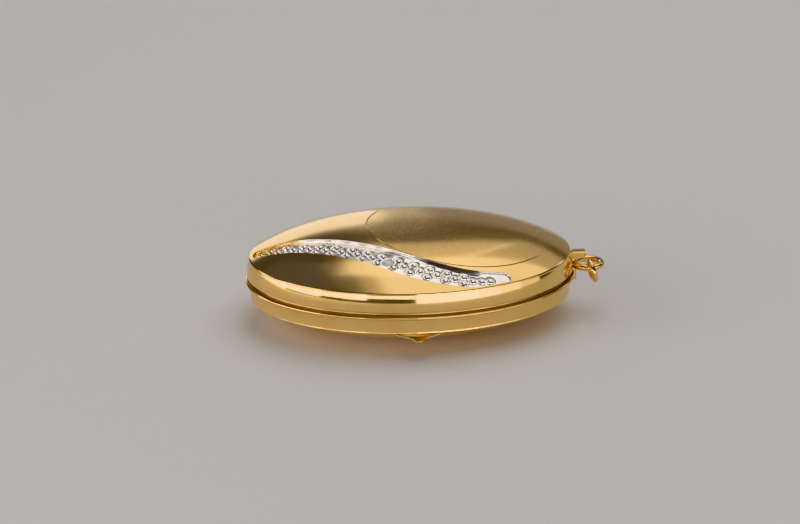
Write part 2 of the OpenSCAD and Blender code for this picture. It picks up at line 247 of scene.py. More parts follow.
def circle(count):
    """The two coordinates of count points on a unit circle."""
    theta = np.linspace(0, 2 * math.pi, count, endpoint=False)
    return np.cos(theta), np.sin(theta)


def level(x, y, z):
    """Points x, y at one height z."""
    return np.column_stack([x, y, np.full(len(x), z)])


def ring_faces(rings, count, closed=False):
    """Quads between neighbouring rings of the same count of points."""
    faces = []
    for r in range(rings if closed else rings - 1):
        a, b = r * count, (r + 1) % rings * count
        for i in range(count):
            j = (i + 1) % count
            faces.append((a + i, a + j, b + j, b + i))
    return faces


def fan(base, count, tip):
    """Triangles from a ring, which starts at point base, to the point tip."""
    return [(base + i, base + (i + 1) % count, tip) for i in range(count)]


def end_caps(rings, count):
    """The first and the last ring as one face each."""
    last = (rings - 1) * count
    return [tuple(range(count))[::-1], tuple(range(last, last + count))]


def lathe_rows(profile):
    """Sweeps (q, out, z) rows round: q times an oval that is larger by out, at height z. A first or last row with
    q = 0 closes the surface."""
    rows = list(profile)
    first = rows.pop(0)[2] if rows[0][0] == 0 else None
    last = rows.pop()[2] if rows[-1][0] == 0 else None
    x, y = circle(SEGMENTS)
    verts = np.vstack([level((HALF_L + out) * q * x, (HALF_W + out) * q * y, z) for q, out, z in rows])
    faces = ring_faces(len(rows), SEGMENTS)
    for z, base, turn in ((first, 0, -1), (last, (len(rows) - 1) * SEGMENTS, 1)):
        if z is not None:
            verts = np.vstack([verts, [[0, 0, z]]])
            faces += [f[::turn] for f in fan(base, SEGMENTS, len(verts) - 1)]
    return verts, faces


def solid(name, verts, faces, mat, smooth=True):
    """Closed mesh with its faces turned outwards."""
    obj = add_mesh(name, verts, faces, mat, smooth)
    bm = bmesh.new()
    bm.from_mesh(obj.data)
    bmesh.ops.recalc_face_normals(bm, faces=bm.faces)
    bm.to_mesh(obj.data)
    bm.free()
    return obj


def smooth_by_angle(obj, degrees=35):
    """Smooth shading that breaks at edges sharper than this."""
    bm = bmesh.new()
    bm.from_mesh(obj.data)
    limit = math.radians(degrees)
    for e in bm.edges:
        e.smooth = len(e.link_faces) != 2 or e.calc_face_angle(0) < limit
    for f in bm.faces:
        f.smooth = True
    bm.to_mesh(obj.data)
    bm.free()
    return obj


def rounded(points, closed=False):
    """Rounds the corners of a polyline of (a, b, radius) rows and returns (a, b) pairs."""
    out = []
    n = len(points)
    for i, (a, b, r) in enumerate(points):
        if r <= 0 or (not closed and i in (0, n - 1)):
            out.append((a, b))
            continue
        p = np.array([a, b])
        u = np.array(points[i - 1][:2]) - p
        v = np.array(points[(i + 1) % n][:2]) - p
        u /= np.linalg.norm(u)
        v /= np.linalg.norm(v)
        half = math.acos(float(np.clip(u @ v, -1, 1))) / 2
        reach = r / math.tan(half)
        centre = p + (u + v) / np.linalg.norm(u + v) * r / math.sin(half)
        start, end = p + u * reach - centre, p + v * reach - centre
        a0, a1 = math.atan2(start[1], start[0]), math.atan2(end[1], end[0])
        turn = (a1 - a0 + math.pi) % (2 * math.pi) - math.pi
        steps = max(3, int(abs(turn) / math.radians(15)))
        for k in range(steps + 1):
            w = a0 + turn * k / steps
            out.append((centre[0] + r * math.cos(w), centre[1] + r * math.sin(w)))
    return out


def apply_modifiers(obj):
    depsgraph = bpy.context.evaluated_depsgraph_get()
    mesh = bpy.data.meshes.new_from_object(obj.evaluated_get(depsgraph))
    obj.modifiers.clear()
    obj.data = mesh


def soften(obj, width, segments, angle, shade_angle):
    """Rounds the edges sharper than angle to this width."""
    mod = obj.modifiers.new("edges", "BEVEL")
    mod.width = width * MM
    mod.segments = segments
    mod.limit_method = "ANGLE"
    mod.angle_limit = math.radians(angle)
    apply_modifiers(obj)
    return smooth_by_angle(obj, shade_angle)


def torus(name, centre, axis_u, axis_v, ring_r, wire_r, start=0.0, end=2 * math.pi, around=128, section=28):
    """Round wire bent round centre in the plane of axis_u and axis_v. An open ring gets rounded ends."""
    centre, u, v = (np.array(a, float) for a in (centre, axis_u, axis_v))
    w = np.cross(u, v)
    whole = abs(end - start - 2 * math.pi) < 1e-6
    count = around if whole else around + 1
    turns = np.linspace(start, end, count, endpoint=not whole)
    c, s = circle(section)
    rows, sizes = list(turns), [1.0] * count
    if not whole:
        step = wire_r * 0.12 / ring_r
        rows = [start, start + step * 0.3, start + step] + rows[1:-1] + [end - step, end - step * 0.3, end]
        sizes = [0.86, 0.95, 1.0] + [1.0] * (count - 2) + [1.0, 0.95, 0.86]
    verts = []
    for t, size in zip(rows, sizes):
        radial = math.cos(t) * u + math.sin(t) * v
        across = np.outer(c, radial) + np.outer(s, w)
        verts.append(centre + ring_r * radial + wire_r * size * across)
    faces = ring_faces(len(rows), section, closed=whole)
    if not whole:
        faces += end_caps(len(rows), section)
    return smooth_by_angle(solid(name, np.vstack(verts), faces, fitting_gold), 40)


def leaf(name, low, reach, low_z, high_z):
    """Hinge leaf, as long as a knuckle: a block with rounded edges."""
    verts = [(x, y, z) for x in (low, low + KNUCKLE_L) for y in (HINGE_Y - reach, HINGE_Y - LEAF_END)
             for z in (low_z, high_z)]
    faces = [(0, 1, 3, 2), (4, 6, 7, 5), (0, 4, 5, 1), (2, 3, 7, 6), (0, 2, 6, 4), (1, 5, 7, 3)]
    return soften(solid(name, verts, faces, fitting_gold), LEAF_EDGE, 3, 30, 35)


def prism(name, first, second, width, mat):
    """Solid between two matching outlines, with softened edges."""
    n = len(first)
    faces = [tuple(range(n)), tuple(range(n, 2 * n))[::-1]]
    faces += [(i, (i + 1) % n, n + (i + 1) % n, n + i) for i in range(n)]
    return soften(solid(name, first + second, faces, mat), width, 4, 50, 40)


def cylinder_x(name, r, low, high, count=64, chamfer=0.0, bore=0.0):
    """Round bar or tube along X on the hinge axis, with chamfered rims."""
    rows = [(low, r), (high, r)]
    if chamfer:
        rows = [(low, r - chamfer), (low + chamfer, r), (high - chamfer, r), (high, r - chamfer)]
    if bore:
        edge = chamfer * 0.5
        rows += [(high, bore + edge), (high - edge, bore), (low + edge, bore), (low, bore + edge)]
    y, z = circle(count)
    verts = [np.column_stack([np.full(count, x), HINGE_Y + rad * y, HINGE_Z + rad * z]) for x, rad in rows]
    faces = ring_faces(len(rows), count, closed=bool(bore))
    if not bore:
        faces += end_caps(len(rows), count)
    return smooth_by_angle(solid(name, np.vstack(verts), faces, fitting_gold))


def knuckle(name, low):
    return cylinder_x(name, KNUCKLE_R, low, low + KNUCKLE_L, chamfer=KNUCKLE_CHAMFER, bore=BORE_R)


def cut_notch(obj, start):
    """Cuts room for the knuckle at start, round about the hinge axis, out of a closed mesh."""
    low = start - KNUCKLE_GAP
    cutter = cylinder_x("cutter", NOTCH_R, low, low + KNUCKLE_L + 2 * KNUCKLE_GAP)
    mod = obj.modifiers.new("notch", "BOOLEAN")
    mod.operation = "DIFFERENCE"
    mod.solver = "EXACT"
    mod.object = cutter
    apply_modifiers(obj)
    bpy.data.objects.remove(cutter, do_unlink=True)
    smooth_by_angle(obj)


# ---------- materials ----------

GOLD = (0.95, 0.64, 0.27, 1)
GOLD_DEEP = (0.91, 0.59, 0.23, 1)
WHITE_METAL = (0.98, 0.905, 0.83, 1)
WHITE_DEEP = (0.92, 0.845, 0.77, 1)
# Painted shade: dark grey standing for the deep shadow on the channel's wall
PAINTED_SHADE_GREY = (0.165, 0.14, 0.12, 1)
# Painted shade: a darker copy of the gold for the thumb lip, which lies in shade under the case
LIP_SHADE_GOLD, LIP_SHADE_GOLD_DEEP = (0.72, 0.53, 0.28, 1), (0.6, 0.42, 0.2, 1)
# Painted shade: a darker copy of the gold for the groove between cover and flange
GROOVE_SHADE_GOLD, GROOVE_SHADE_GOLD_DEEP = (0.6, 0.43, 0.22, 1), (0.46, 0.32, 0.16, 1)
STONE = (0.9, 0.83, 0.76, 1)


def material(name, metallic=0.0):
    mat = bpy.data.materials.new(name)
    mat.use_nodes = True
    tree = mat.node_tree
    bsdf = tree.nodes["Principled BSDF"]
    bsdf.inputs["Metallic"].default_value = metallic
    return mat, tree, bsdf


def node(tree, kind, inputs=None, **props):
    """New node. Each input is a socket to link from or a constant."""
    n = tree.nodes.new(kind)
    for k, v in props.items():
        setattr(n, k, v)
    for k, v in (inputs or {}).items():
        if isinstance(v, bpy.types.NodeSocket):
            tree.links.new(v, n.inputs[k])
        else:
            n.inputs[k].default_value = v
    return n


def remap(tree, value, low, high, source=(0.0, 1.0)):
    """Maps value from the source range to low and high."""
    return node(tree, "ShaderNodeMapRange", {0: value, 1: source[0], 2: source[1], 3: low, 4: high}).outputs[0]


def maths(tree, operation, a, b):
    return node(tree, "ShaderNodeMath", {0: a, 1: b}, operation=operation).outputs[0]


def mix_value(tree, factor, a, b):
    return node(tree, "ShaderNodeMix", {0: factor, 2: a, 3: b}, data_type="FLOAT").outputs[0]


def mix_colour(tree, factor, a, b):
    return node(tree, "ShaderNodeMix", {0: factor, 6: a, 7: b}, data_type="RGBA").outputs[2]


def noise(tree, size, detail, roughness=0.5, squeeze=(1, 1, 1)):
    """Noise with features about size millimetres across, finer by squeeze along each axis."""
    coords = node(tree, "ShaderNodeTexCoord").outputs["Object"]
    vector = node(tree, "ShaderNodeMapping", {"Vector": coords, "Scale": squeeze}).outputs["Vector"]
    inputs = {"Vector": vector, "Scale": 1 / (size * MM), "Detail": detail, "Roughness": roughness}
    return node(tree, "ShaderNodeTexNoise", inputs).outputs["Fac"]


def finish_metal(tree, bsdf, colour, roughness, height, strength, distance):
    """Joins the colour, the roughness and a bump of distance millimetres to the shader."""
    tree.links.new(colour, bsdf.inputs["Base Color"])
    tree.links.new(roughness, bsdf.inputs["Roughness"])
    bump = node(tree, "ShaderNodeBump", {"Height": height, "Strength": strength, "Distance": distance * MM})
    tree.links.new(bump.outputs["Normal"], bsdf.inputs["Normal"])


def gold_material(name, rough, spread, scratch_depth, satin=None, pale=GOLD, deep=GOLD_DEEP):
    """Yellow gold with cloudy polish, hairline scratches and slightly deeper colour in places. satin names a
    vertex attribute that turns the polish into a fine matt grain."""
    mat, tree, bsdf = material(name, metallic=1.0)
    clouds = noise(tree, 2.5, 4)
    colour = mix_colour(tree, remap(tree, clouds, 0, 1, (0.35, 0.7)), pale, deep)
    roughness = remap(tree, clouds, rough, rough + spread, (0.3, 0.75))
    along, across = noise(tree, 0.9, 2, 0.7, (1, 18, 6)), noise(tree, 1.1, 2, 0.7, (14, 1, 6))
    height = maths(tree, "MULTIPLY", maths(tree, "MULTIPLY", along, across), scratch_depth)
    if satin:
        mask = node(tree, "ShaderNodeAttribute", attribute_name=satin, attribute_type="GEOMETRY")
        mask = mask.outputs["Fac"]
        grain = noise(tree, 0.035, 2, 0.6)
        brushed = noise(tree, 0.5, 3, 0.65, (1.2, 16, 16))
        roughness = mix_value(tree, mask, roughness, remap(tree, grain, 0.10, 0.28, (0.42, 0.58)))
        matt = maths(tree, "ADD", maths(tree, "MULTIPLY", grain, 0.6), brushed)
        height = mix_value(tree, mask, height, matt)
        colour = mix_colour(tree, mask, colour, mix_colour(tree, brushed, GOLD_DEEP, GOLD))
    finish_metal(tree, bsdf, colour, roughness, height, 0.25, 0.004)
    return mat


def plated_material(name, gold_until, white_from, rough, painted_shade_x=None):
    """White metal plating that wears through to gold towards the band's left tip. The last argument gives the X
    range in which it is darkened with painted shade."""
    mat, tree, bsdf = material(name, metallic=1.0)
    coords = node(tree, "ShaderNodeTexCoord").outputs["Object"]
    x = node(tree, "ShaderNodeSeparateXYZ", {0: coords}).outputs["X"]
    patch = noise(tree, 0.6, 3)
    shifted = maths(tree, "ADD", remap(tree, patch, -0.7 * MM, 0.7 * MM), x)
    white = remap(tree, shifted, 0, 1, (gold_until * MM, white_from * MM))
    clouds = noise(tree, 0.5, 3)
    silver = mix_colour(tree, remap(tree, clouds, 0, 1, (0.4, 0.7)), WHITE_METAL, WHITE_DEEP)
    if painted_shade_x:
        starts = remap(tree, shifted, 0, 1, (painted_shade_x[0] * MM, (painted_shade_x[0] + 1.5) * MM))
        ends = remap(tree, shifted, 1, 0, ((painted_shade_x[1] - 0.6) * MM, painted_shade_x[1] * MM))
        # painted shade darkens the plating over the given X range
        silver = mix_colour(tree, maths(tree, "MULTIPLY", starts, ends), silver, PAINTED_SHADE_GREY)
    roughness = remap(tree, clouds, rough, rough + 0.1, (0.3, 0.7))
    colour = mix_colour(tree, white, GOLD, silver)
    finish_metal(tree, bsdf, colour, roughness, noise(tree, 0.06, 3, 0.6), 0.3, 0.006)
    return mat


def stone_material():
    mat, tree, bsdf = material("stone")
    bsdf.inputs["Base Color"].default_value = STONE
    bsdf.inputs["IOR"].default_value = 1.7
    bsdf.inputs["Transmission Weight"].default_value = 0.25
    tree.links.new(remap(tree, noise(tree, 0.4, 2), 0.02, 0.06), bsdf.inputs["Roughness"])
    return mat


face_gold = gold_material("face_gold", 0.13, 0.06, 0.35, satin="satin")
wall_gold = gold_material("wall_gold", 0.06, 0.05, 0.3)
fitting_gold = gold_material("fitting_gold", 0.10, 0.08, 0.4)
inner_gold = gold_material("inner_gold", 0.28, 0.12, 0.6)
# darker gold for the thumb lip: painted shade
lip_shade_gold = gold_material("lip_shade_gold", 0.1, 0.08, 0.4, pale=LIP_SHADE_GOLD, deep=LIP_SHADE_GOLD_DEEP)
# darker gold for the groove under the cover and the back's recess: painted shade
groove_shade_gold = gold_material("groove_shade_gold", 0.3, 0.12, 0.4, pale=GROOVE_SHADE_GOLD, deep=GROOVE_SHADE_GOLD_DEEP)
# the channel's wall is darkened with painted shade to the right of the middle
channel_plate = plated_material("channel_plating", -10.8, -9.4, 0.18, painted_shade_x=(-0.4, 5.9))
bead_plate = plated_material("bead_plating", -13.4, -11.4, 0.1)
floor_plate = plated_material("floor_plating", -13.2, -11.2, 0.2)
stone_look = stone_material()

# The cover's material slots
COVER_MATERIALS = (face_gold, channel_plate, wall_gold, inner_gold, groove_shade_gold)
FACE, CHANNEL, WALL, INNER, GROOVE_SHADE = range(5)


# ---------- front cover ----------

def in_loop(points, loop):
    """Which points lie inside a closed polyline."""
    inside = np.zeros(len(points), bool)
    x, y = points.T
    x0, y0 = loop.T
    x1, y1 = np.roll(x0, -1), np.roll(y0, -1)
    for a0, b0, a1, b1 in zip(x0, y0, x1, y1):
        if b0 == b1:
            continue
        cross = (b0 > y) != (b1 > y)
        inside ^= cross & (x < (a1 - a0) * (y - b0) / (b1 - b0) + a0)
    return inside


def nearest(points, others, block=400):
    """Each point's distance to the nearest of the others."""
    best = np.full(len(points), np.inf)
    for i in range(0, len(others), block):
        d = np.linalg.norm(points[:, None, :] - others[None, i:i + block, :], axis=2)
        best = np.minimum(best, d.min(axis=1))
    return best


def q_squared(points):
    return ((points / (HALF_L, HALF_W)) ** 2).sum(1)


def satin_mask(x, y):
    """1 in the satin field, 0 in the polished one. The arc parts them, and past its ends the change is soft."""
    dx, dy = x - ARC_CENTRE[0], y - ARC_CENTRE[1]
    inside = np.clip((ARC_R - np.hypot(dx, dy)) / SATIN_EDGE + 0.5, 0, 1)
    angle = np.degrees(np.arctan2(dy, dx)) % 360
    past_start = np.clip((ARC_FROM - angle) / SATIN_START, 0, 1) * (angle < 180)
    past_end = np.clip((angle - ARC_TO) / SATIN_END, 0, 1)
    return np.maximum(inside, np.maximum(past_start, past_end))


def triangulate(fixed, edges, grid, keep):
    """Counter-clockwise triangles over fixed points with edges and over grid points. keep picks by centre."""
    points = [Vector(p) for p in np.vstack([fixed, grid])]
    verts, _, tris, origin, _, _ = delaunay_2d_cdt(points, edges, [], 0, 1e-6)
    flat = np.array([(v.x, v.y) for v in verts])
    tris = np.array(tris)
    tris = tris[keep(flat[tris].mean(axis=1))]
    used = np.unique(tris)
    place = np.full(len(flat), -1)
    place[used] = np.arange(len(used))
    tris = place[tris]
    flat = flat[used]
    a, b, c = (flat[t] for t in tris.T)
    u, v = b - a, c - a
    turned = u[:, 0] * v[:, 1] - u[:, 1] * v[:, 0] < 0
    tris[turned] = tris[turned][:, ::-1]
    return flat, tris, [origin[i] for i in used]


def plan_grid(step):
    """Points in a triangular grid over the whole plan."""
    rows = []
    for j, y in enumerate(np.arange(-HALF_W, HALF_W, step * math.sqrt(3) / 2)):
        xs = np.arange(-HALF_L, HALF_L, step) + (j % 2) * step / 2
        rows.append(np.column_stack([xs, np.full(len(xs), y)]))
    return np.vstack(rows)


def loop_edges(start, count):
    return [(start + i, start + (i + 1) % count) for i in range(count)]


def line_fade(degrees):
    """The engraved line dies away at both ends."""
    return float(np.clip(min(degrees - ARC_FROM, ARC_TO - degrees) / LINE_FADE, 0, 1))


def engraved_line(outline, normal, first):
    """Parallel arcs of the line's section, numbered from first: their points, edges and depths."""
    points, edges, depths = [], [], {}
    degrees = np.arange(ARC_FROM, ARC_TO + 0.01, 0.5)
    angles = np.radians(degrees)
    for part, deep in LINE_LANES:
        r = ARC_R + part * ARC_LINE_W
        lane = np.column_stack([ARC_CENTRE[0] + r * np.cos(angles), ARC_CENTRE[1] + r * np.sin(angles)])
        blocked = in_loop(lane, outline + LINE_TO_MOUTH * normal) | (q_squared(lane) > LINE_LAST_Q2)
        previous = None
        for p, stop, a in zip(lane, blocked, degrees):
            if stop:
                previous = None
                continue
            here = first + len(points)
            depths[here] = deep * line_fade(a) * ARC_LINE_DEPTH
            if previous is not None:
                edges.append((previous, here))
            previous = here
            points.append(p)
    return np.array(points), edges, depths


def front_face(outline, normal):
    """The dome's outer skin, with the channel's mouth and the engraved line cut into it."""
    x, y = circle(SEGMENTS)
    rim = np.column_stack([HALF_L * ARRIS_Q * x, HALF_W * ARRIS_Q * y])
    mouth = outline + MOUTH * normal
    line, line_edges, depths = engraved_line(outline, normal, len(rim) + len(mouth))
    edges = loop_edges(0, len(rim)) + loop_edges(len(rim), len(mouth)) + line_edges
    fixed = np.vstack([rim, mouth, line])
    grid = plan_grid(FACE_GRID)
    grid = grid[q_squared(grid) < FACE_GRID_Q2]
    grid = grid[~in_loop(grid, mouth)]
    grid = grid[nearest(grid, fixed) > FACE_CLEAR]
    keep = lambda c: (q_squared(c) < ARRIS_Q ** 2) & ~in_loop(c, mouth)
    flat, tris, origin = triangulate(fixed, edges, grid, keep)
    depth = np.array([max([depths.get(i, 0.0) for i in sources], default=0.0) for sources in origin])
    return np.column_stack([flat, dome_z(*flat.T) - depth]), tris.tolist()


def channel_floor(outline):
    grid = plan_grid(FLOOR_GRID)
    grid = grid[in_loop(grid, outline)]
    grid = grid[nearest(grid, outline) > FLOOR_CLEAR]
    flat, tris, _ = triangulate(outline, loop_edges(0, len(outline)), grid, lambda c: in_loop(c, outline))
    return np.column_stack([flat, dome_z(*flat.T) - CHANNEL_DEPTH]), tris.tolist()


def channel_wall(outline, normal):
    """Rounded mouth and upright wall of the channel, down to its floor."""
    angles = np.radians(np.arange(0, 91, 15))
    rows = [(MOUTH * (1 - math.sin(a)), MOUTH * (1 - math.cos(a))) for a in angles]
    rows += [(0.0, d) for d in (0.12, 0.2, 0.3, CHANNEL_DEPTH)]
    verts = []
    for off, depth in rows:
        p = outline + off * normal
        verts.append(np.column_stack([p, dome_z(*p.T) - depth]))
    return np.vstack(verts), ring_faces(len(rows), len(outline))


def arris(t, start, corner, end):
    """Rounding of an arris: a parabola from start to end, as t goes from 0 to 1, inside the corner."""
    return (1 - t) ** 2 * start + 2 * t * (1 - t) * corner + t * t * end


def cover_rows():
    """The cover's section from the face's edge: arris, flaring wall, lower edge, and the hollow."""
    z0 = COVER_ARRIS_Z + FRONT_DOME_H * (1 - ARRIS_Q ** DOME_POWER)
    z2 = COVER_ARRIS_Z - ARRIS_H
    rows = [(arris(t, ARRIS_Q, 1, 1), 0.0, arris(t, z0, COVER_ARRIS_Z, z2)) for t in np.linspace(0, 1, 9)]
    # The wall flares from the arris and turns upright towards its lower edge
    for z in np.linspace(z2, COVER_LOW_Z + 0.07, 18)[1:]:
        part = (z2 - z) / (z2 - COVER_LOW_Z)
        rows.append((1.0, WALL_DRAFT * (1 - (1 - part) ** 2), z))
    hollow_z = COVER_ARRIS_Z - HOLLOW_DROP
    edge = rounded([(WALL_DRAFT, COVER_LOW_Z + 0.3, 0), (WALL_DRAFT, COVER_LOW_Z, 0.06),
                    (-WALL_T, COVER_LOW_Z, 0.03), (-WALL_T, hollow_z, 0)])
    rows += [(1.0, a, b) for a, b in edge[1:]]
    height = FRONT_DOME_H + HOLLOW_DROP - FRONT_METAL
    for a in np.radians(np.arange(87, -1, -3)):
        q = math.sin(a)
        rows.append((q, -WALL_T, hollow_z + height * (1 - q ** DOME_POWER)))
    rows[-1] = (0, 0, hollow_z + height)
    return rows


def face_normal(x, y, z):
    """Exact normal of the polished face at a point on it, or None elsewhere."""
    if z < COVER_ARRIS_Z or (x / HALF_L) ** 2 + (y / HALF_W) ** 2 > ARRIS_Q ** 2 + 1e-4:
        return None
    depth = float(dome_z(x, y)) - z
    if not -0.002 < depth < ARC_LINE_DEPTH + 0.002:
        return None
    n = dome_normal(x, y)
    dx, dy = x - ARC_CENTRE[0], y - ARC_CENTRE[1]
    r = math.hypot(dx, dy)
    side = (r - ARC_R) / ARC_LINE_W
    if depth > 0.002 and abs(side) > 0.7:
        return None
    # On the flanks of the engraved line the normal leans towards its bottom
    if depth > 0.0005 and 0.15 < abs(side) < 0.56:
        lean = 1.05 * line_fade(math.degrees(math.atan2(dy, dx)) % 360) * (1 if side > 0 else -1)
        n = n - lean * np.array([dx / r, dy / r, 0])
        n /= np.linalg.norm(n)
    return n


def cover_shell():
    """The cover's metal as one closed mesh, notched for the back's knuckles."""
    outline, normal = band_outline()
    bm = bmesh.new()
    for verts, faces in (front_face(outline, normal), channel_wall(outline, normal), channel_floor(outline),
                         lathe_rows(cover_rows())):
        made = [bm.verts.new(np.asarray(v) * MM) for v in verts]
        for f in faces:
            bm.faces.new([made[i] for i in f])
    bmesh.ops.remove_doubles(bm, verts=bm.verts, dist=1e-8)
    bmesh.ops.recalc_face_normals(bm, faces=bm.faces)
    mesh = bpy.data.meshes.new("cover_shell")
    bm.to_mesh(mesh)
    bm.free()
    for mat in COVER_MATERIALS:
        mesh.materials.append(mat)
    obj = add_object("cover_shell", mesh)
    for start in SIDE_KNUCKLES:
        cut_notch(obj, start)
    finish_cover(obj.data, outline + (MOUTH + 0.002) * normal)
    return obj


def finish_cover(mesh, mouth):
    """Gives the cover's faces their materials, and the polished face its exact normals and satin field."""
    x, y, z = np.array([tuple(f.center) for f in mesh.polygons]).T / MM
    depth = dome_z(x, y) - z
    q = np.hypot(x / HALF_L, y / HALF_W)
    in_band = in_loop(np.column_stack([x, y]), mouth)
    on_face = (q < ARRIS_Q) & (depth > -0.01) & (depth < ARC_LINE_DEPTH + 0.01) & ~in_band
    in_channel = in_band & (depth < CHANNEL_DEPTH + 0.02)
    at_wall = (q > 1 - WALL_T / HALF_L * 1.1) & (z > COVER_LOW_Z - 0.02)
    normals = [(0.0, 0.0, 0.0)] * len(mesh.loops)
    for f in mesh.polygons:
        i = f.index
        if on_face[i]:
            f.material_index = FACE
            for li in f.loop_indices:
                v = mesh.vertices[mesh.loops[li].vertex_index].co / MM
                n = face_normal(v.x, v.y, v.z)
                if n is not None:
                    normals[li] = tuple(n)
        elif in_channel[i]:
            f.material_index = CHANNEL if depth[i] > 0.004 else FACE
        elif at_wall[i] and f.normal.z < -0.7 and z[i] < COVER_LOW_Z + 0.05:
            # the cover's downward-facing lower edge gets the groove's darker gold: painted shade
            f.material_index = GROOVE_SHADE
        else:
            f.material_index = WALL if at_wall[i] and q[i] > 0.985 else INNER
    mesh.normals_split_custom_set(normals)
    layer = mesh.attributes.new("satin", "FLOAT", "POINT")
    x, y, z = np.array([tuple(v.co) for v in mesh.vertices]).T / MM
    layer.data.foreach_set("value", (satin_mask(x, y) * (z > COVER_ARRIS_Z)).astype(np.float32))


# ---------- back case ----------

def back_rows():
    """The back's section: rest, dome, arris, wall, flange, shoulder, closing rim, and the hollow."""
    depth = BACK_DOME_H + REST_CUT
    flat_q = (1 - BACK_ARRIS_Z / depth) ** (1 / DOME_POWER)
    rows = [(0, 0, 0.0)]
    rows += [(q * flat_q, BACK_WALL_OUT, 0.0) for q in (0.4, 0.75, 0.93)]
    for a in np.radians(np.linspace(math.degrees(math.asin(flat_q)) + 2.5, 80, 30)):
        q = math.sin(a)
        rows.append((q, BACK_WALL_OUT, BACK_ARRIS_Z - depth * (1 - q ** DOME_POWER)))
    z0 = BACK_ARRIS_Z - depth * (1 - BACK_ARRIS_Q ** DOME_POWER)
    wall_z = BACK_ARRIS_Z + ARRIS_H
    for t in np.linspace(0, 1, 7):
        z = arris(t, z0, BACK_ARRIS_Z, wall_z)
        rows.append((arris(t, BACK_ARRIS_Q, 1, 1), BACK_WALL_OUT - BACK_DRAFT * t, z))
    low = FLANGE_TOP_Z - FLANGE_T
    shoulder_z = FLANGE_TOP_Z + SHOULDER_H
    inner = BACK_WALL_OUT - WALL_T - 0.05
    section = rounded([
        (BACK_WALL_OUT - BACK_DRAFT, wall_z, 0),
        (BACK_WALL_OUT, low, 0.07),
        (FLANGE_OUT, low, 0.13),
        (FLANGE_OUT, FLANGE_TOP_Z, 0.13),
        (SHOULDER_OUT, FLANGE_TOP_Z, 0.05),
        (SHOULDER_OUT, shoulder_z, 0.05),
        (RIM_OUT, shoulder_z, 0.04),
        (RIM_OUT, RIM_TOP_Z, 0.06),
        (RIM_IN, RIM_TOP_Z, 0.06),
        (RIM_IN, FLANGE_TOP_Z, 0.04),
        (inner, FLANGE_TOP_Z, 0.03),
        (inner, wall_z, 0),
    ])
    rows += [(1.0, a, b) for a, b in section[1:]]
    height = wall_z - BACK_METAL
    for a in np.radians(np.arange(84, -1, -4)):
        q = math.sin(a)
        rows.append((q, inner, wall_z - height * (1 - q ** DOME_POWER)))
    rows[-1] = (0, 0, BACK_METAL)
    return rows


def back_shell():
    """The back's metal as one closed mesh, notched for the cover's knuckle."""
    obj = smooth_by_angle(solid("back_shell", *lathe_rows(back_rows()), wall_gold))
    cut_notch(obj, MIDDLE_KNUCKLE)
    obj.data.materials.append(inner_gold)
    obj.data.materials.append(groove_shade_gold)
    for f in obj.data.polygons:
        c = f.center / MM
        inside = math.hypot(c.x / (HALF_L + RIM_IN + 0.02), c.y / (HALF_W + RIM_IN + 0.02)) < 1
        recess = math.hypot(c.x / (HALF_L + SHOULDER_OUT + 0.06), c.y / (HALF_W + SHOULDER_OUT + 0.06)) < 1
        if inside and c.z > BACK_METAL - 0.05 and f.normal.z > -0.5:
            f.material_index = 1
        elif recess and FLANGE_TOP_Z - 0.01 < c.z < FLANGE_TOP_Z + SHOULDER_H - 0.02:
            # the recess between flange and shoulder gets the groove's darker gold: painted shade
            f.material_index = 2
    return obj


def flank(a, b, hollow):
    """Points between a and b on a slightly hollow line."""
    a, b = np.array(a), np.array(b)
    n = np.array([-(b - a)[1], (b - a)[0]]) / np.linalg.norm(b - a)
    return [tuple(a + (b - a) * t + n * hollow * 4 * t * (1 - t)) for t in np.linspace(0, 1, 9)[1:-1]]


def thumb_lip():
    """A small tongue that sweeps in from its root to a round tip and droops."""
    r, root = LIP_TIP_W / 2, LIP_ROOT_W / 2
    tip = [(r * math.cos(a), -LIP_OUT + r + r * math.sin(a)) for a in np.radians(np.arange(195, 346, 10))]
    plan = [(root, 0.42), (-root, 0.42), (-root, 0.0)]
    plan += flank((-root, 0.0), tip[0], 0.05) + tip + flank(tip[-1], (root, 0.0), 0.05)
    plan.append((root, 0.0))
    top, bottom = ([(x, y, z) for x, y in plan] for z in (0.0, -LIP_T))
    # the lip's darker gold is painted shade
    obj = prism("thumb_lip", top, bottom, 0.09, lip_shade_gold)
    place = Matrix.Translation(Vector((0, -HALF_W - BACK_WALL_OUT, BACK_ARRIS_Z)) * MM)
    obj.data.transform(place @ Matrix.Rotation(math.radians(LIP_DROOP), 4, "X"))
    return obj


def side_block(name, profile, low_y, high_y, width):
    """Extrudes a profile of (x, z, radius) rows from low_y to high_y and softens its edges."""
    plan = rounded(profile, closed=True)
    near, far = ([(x, y, z) for x, z in plan] for y in (low_y, high_y))
    return prism(name, near, far, width, fitting_gold)


